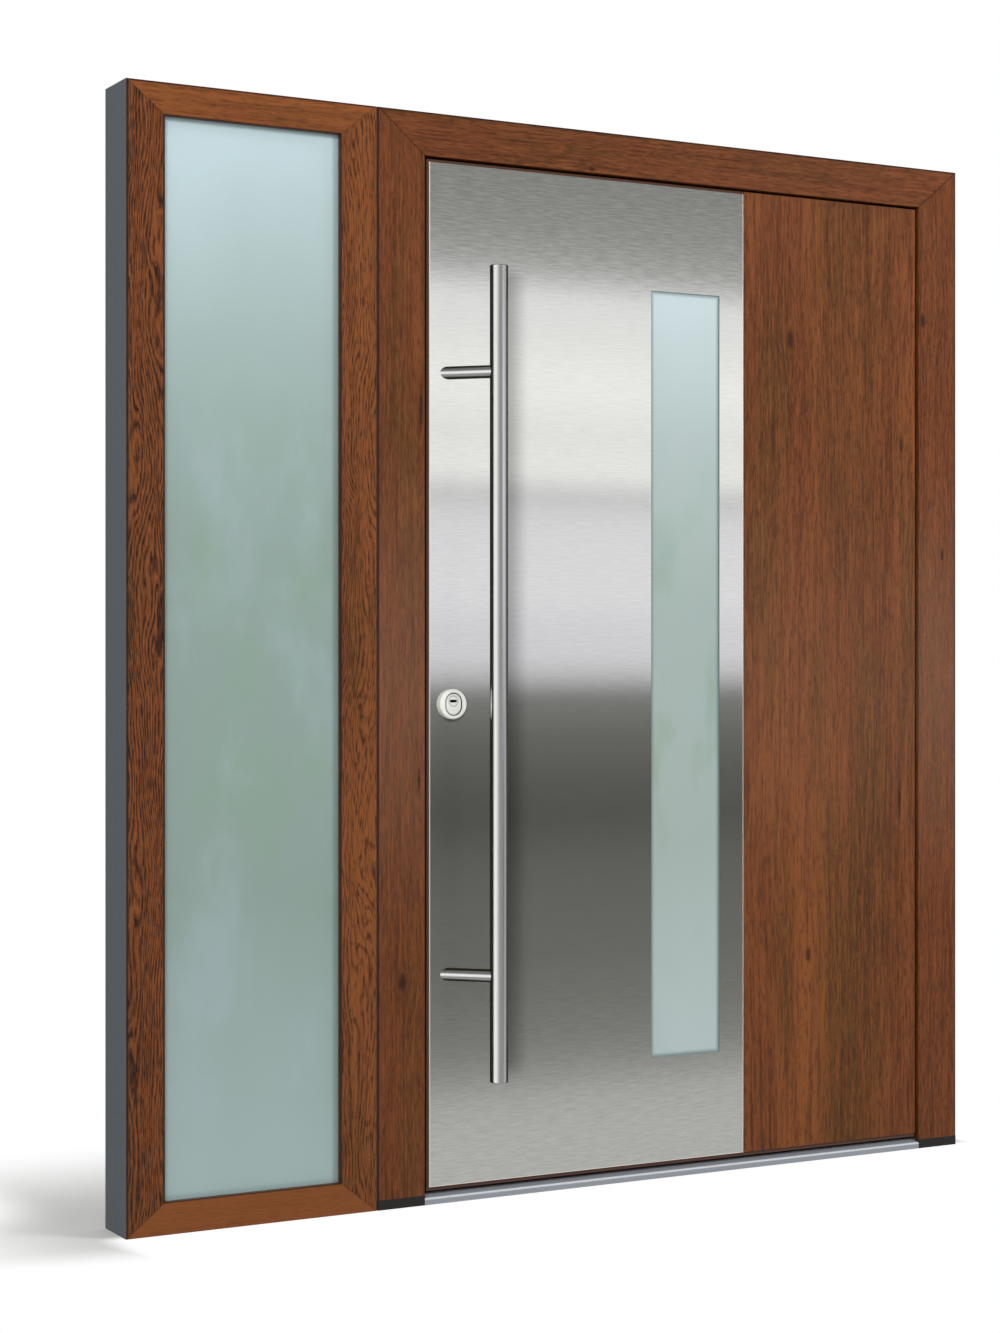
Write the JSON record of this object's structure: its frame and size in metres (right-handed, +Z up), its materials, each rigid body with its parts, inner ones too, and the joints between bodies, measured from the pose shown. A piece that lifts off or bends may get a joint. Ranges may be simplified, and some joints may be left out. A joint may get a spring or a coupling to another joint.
{
  "type": "entrance door with side light",
  "caption": "Inward-opening entrance door in a wood-look frame, with a brushed steel panel, frosted glass strip, long bar pull handle and a fixed frosted side light on the left.",
  "frame": {"origin": "on the underside of the sill, at half the total width and half the frame depth", "axes": "+X to the right seen from outside, +Y inwards into the building, +Z up"},
  "size_m": [1.894, 0.262, 2.1],
  "materials": {
    "wood_decor": "satin reddish-brown oak decor with embossed grain",
    "grey_aluminium": "satin anthracite-grey coating",
    "brushed_steel": "level brushed stainless steel",
    "frosted_glass": "satin-frosted, pale blue-green",
    "clear_glass": "clear float glass",
    "black_plastic": "matt black",
    "black_rubber": "matt black",
    "sill_aluminium": "anodised silver",
    "dark_brown_metal": "dark brown satin",
    "handle_steel": "fine-brushed stainless steel"
  },
  "bodies": {
    "frame": {"sidelight_left_stile": "wood_decor", "sidelight_right_stile": "wood_decor", "sidelight_top_rail": "wood_decor", "sidelight_bottom_rail": "wood_decor", "sidelight_outer_pane": "frosted_glass", "sidelight_inner_pane": "clear_glass", "sidelight_spacer": "grey_aluminium", "sidelight_gaskets": "black_rubber", "sidelight_upright_beads": "wood_decor", "sidelight_level_beads": "wood_decor", "coupling_strip": "dark_brown_metal", "lock_jamb": "wood_decor", "hinge_jamb": "wood_decor", "door_header": "wood_decor", "lock_jamb_foot": "black_plastic", "hinge_jamb_foot": "black_plastic", "threshold": "sill_aluminium", "frame_seal": "black_rubber", "strike_plate": "brushed_steel", "hinge_frame_halves": "grey_aluminium"},
    "leaf": {"leaf_lock_stile": "dark_brown_metal", "leaf_hinge_stile": "dark_brown_metal", "leaf_top_rail": "dark_brown_metal", "leaf_bottom_rail": "dark_brown_metal", "leaf_core": "grey_aluminium", "leaf_steel_skin": "brushed_steel", "leaf_wood_skin": "wood_decor", "leaf_inner_skin": "wood_decor", "leaf_outer_pane": "frosted_glass", "leaf_inner_pane": "clear_glass", "leaf_glass_spacer": "grey_aluminium", "leaf_glazing_trim": "grey_aluminium", "leaf_bottom_strip": "dark_brown_metal", "lock_faceplate": "brushed_steel", "lock_bolts": "brushed_steel", "handle_bar": "handle_steel", "handle_upper_standoff": "handle_steel", "handle_lower_standoff": "handle_steel", "lock_rosette": "handle_steel", "lock_cover": "handle_steel", "inner_lever_rosette": "handle_steel", "inner_lever": "handle_steel", "inner_lock_rosette": "handle_steel", "inner_cylinder": "handle_steel", "hinge_leaf_halves": "grey_aluminium"},
    "plug": {"lock_plug": "handle_steel"}
  },
  "joints": [
    {"name": "leaf_swing", "type": "hinge", "parent": "frame", "child": "leaf", "pos_m": [0.8645, 0.068, 1.022], "axis": [0, 0, -1], "range_deg": [0, 110]},
    {"name": "plug_turn", "type": "hinge", "parent": "leaf", "child": "plug", "pos_m": [-0.28, -0.055, 0.968], "axis": [0, 1, 0], "continuous": true}
  ]
}
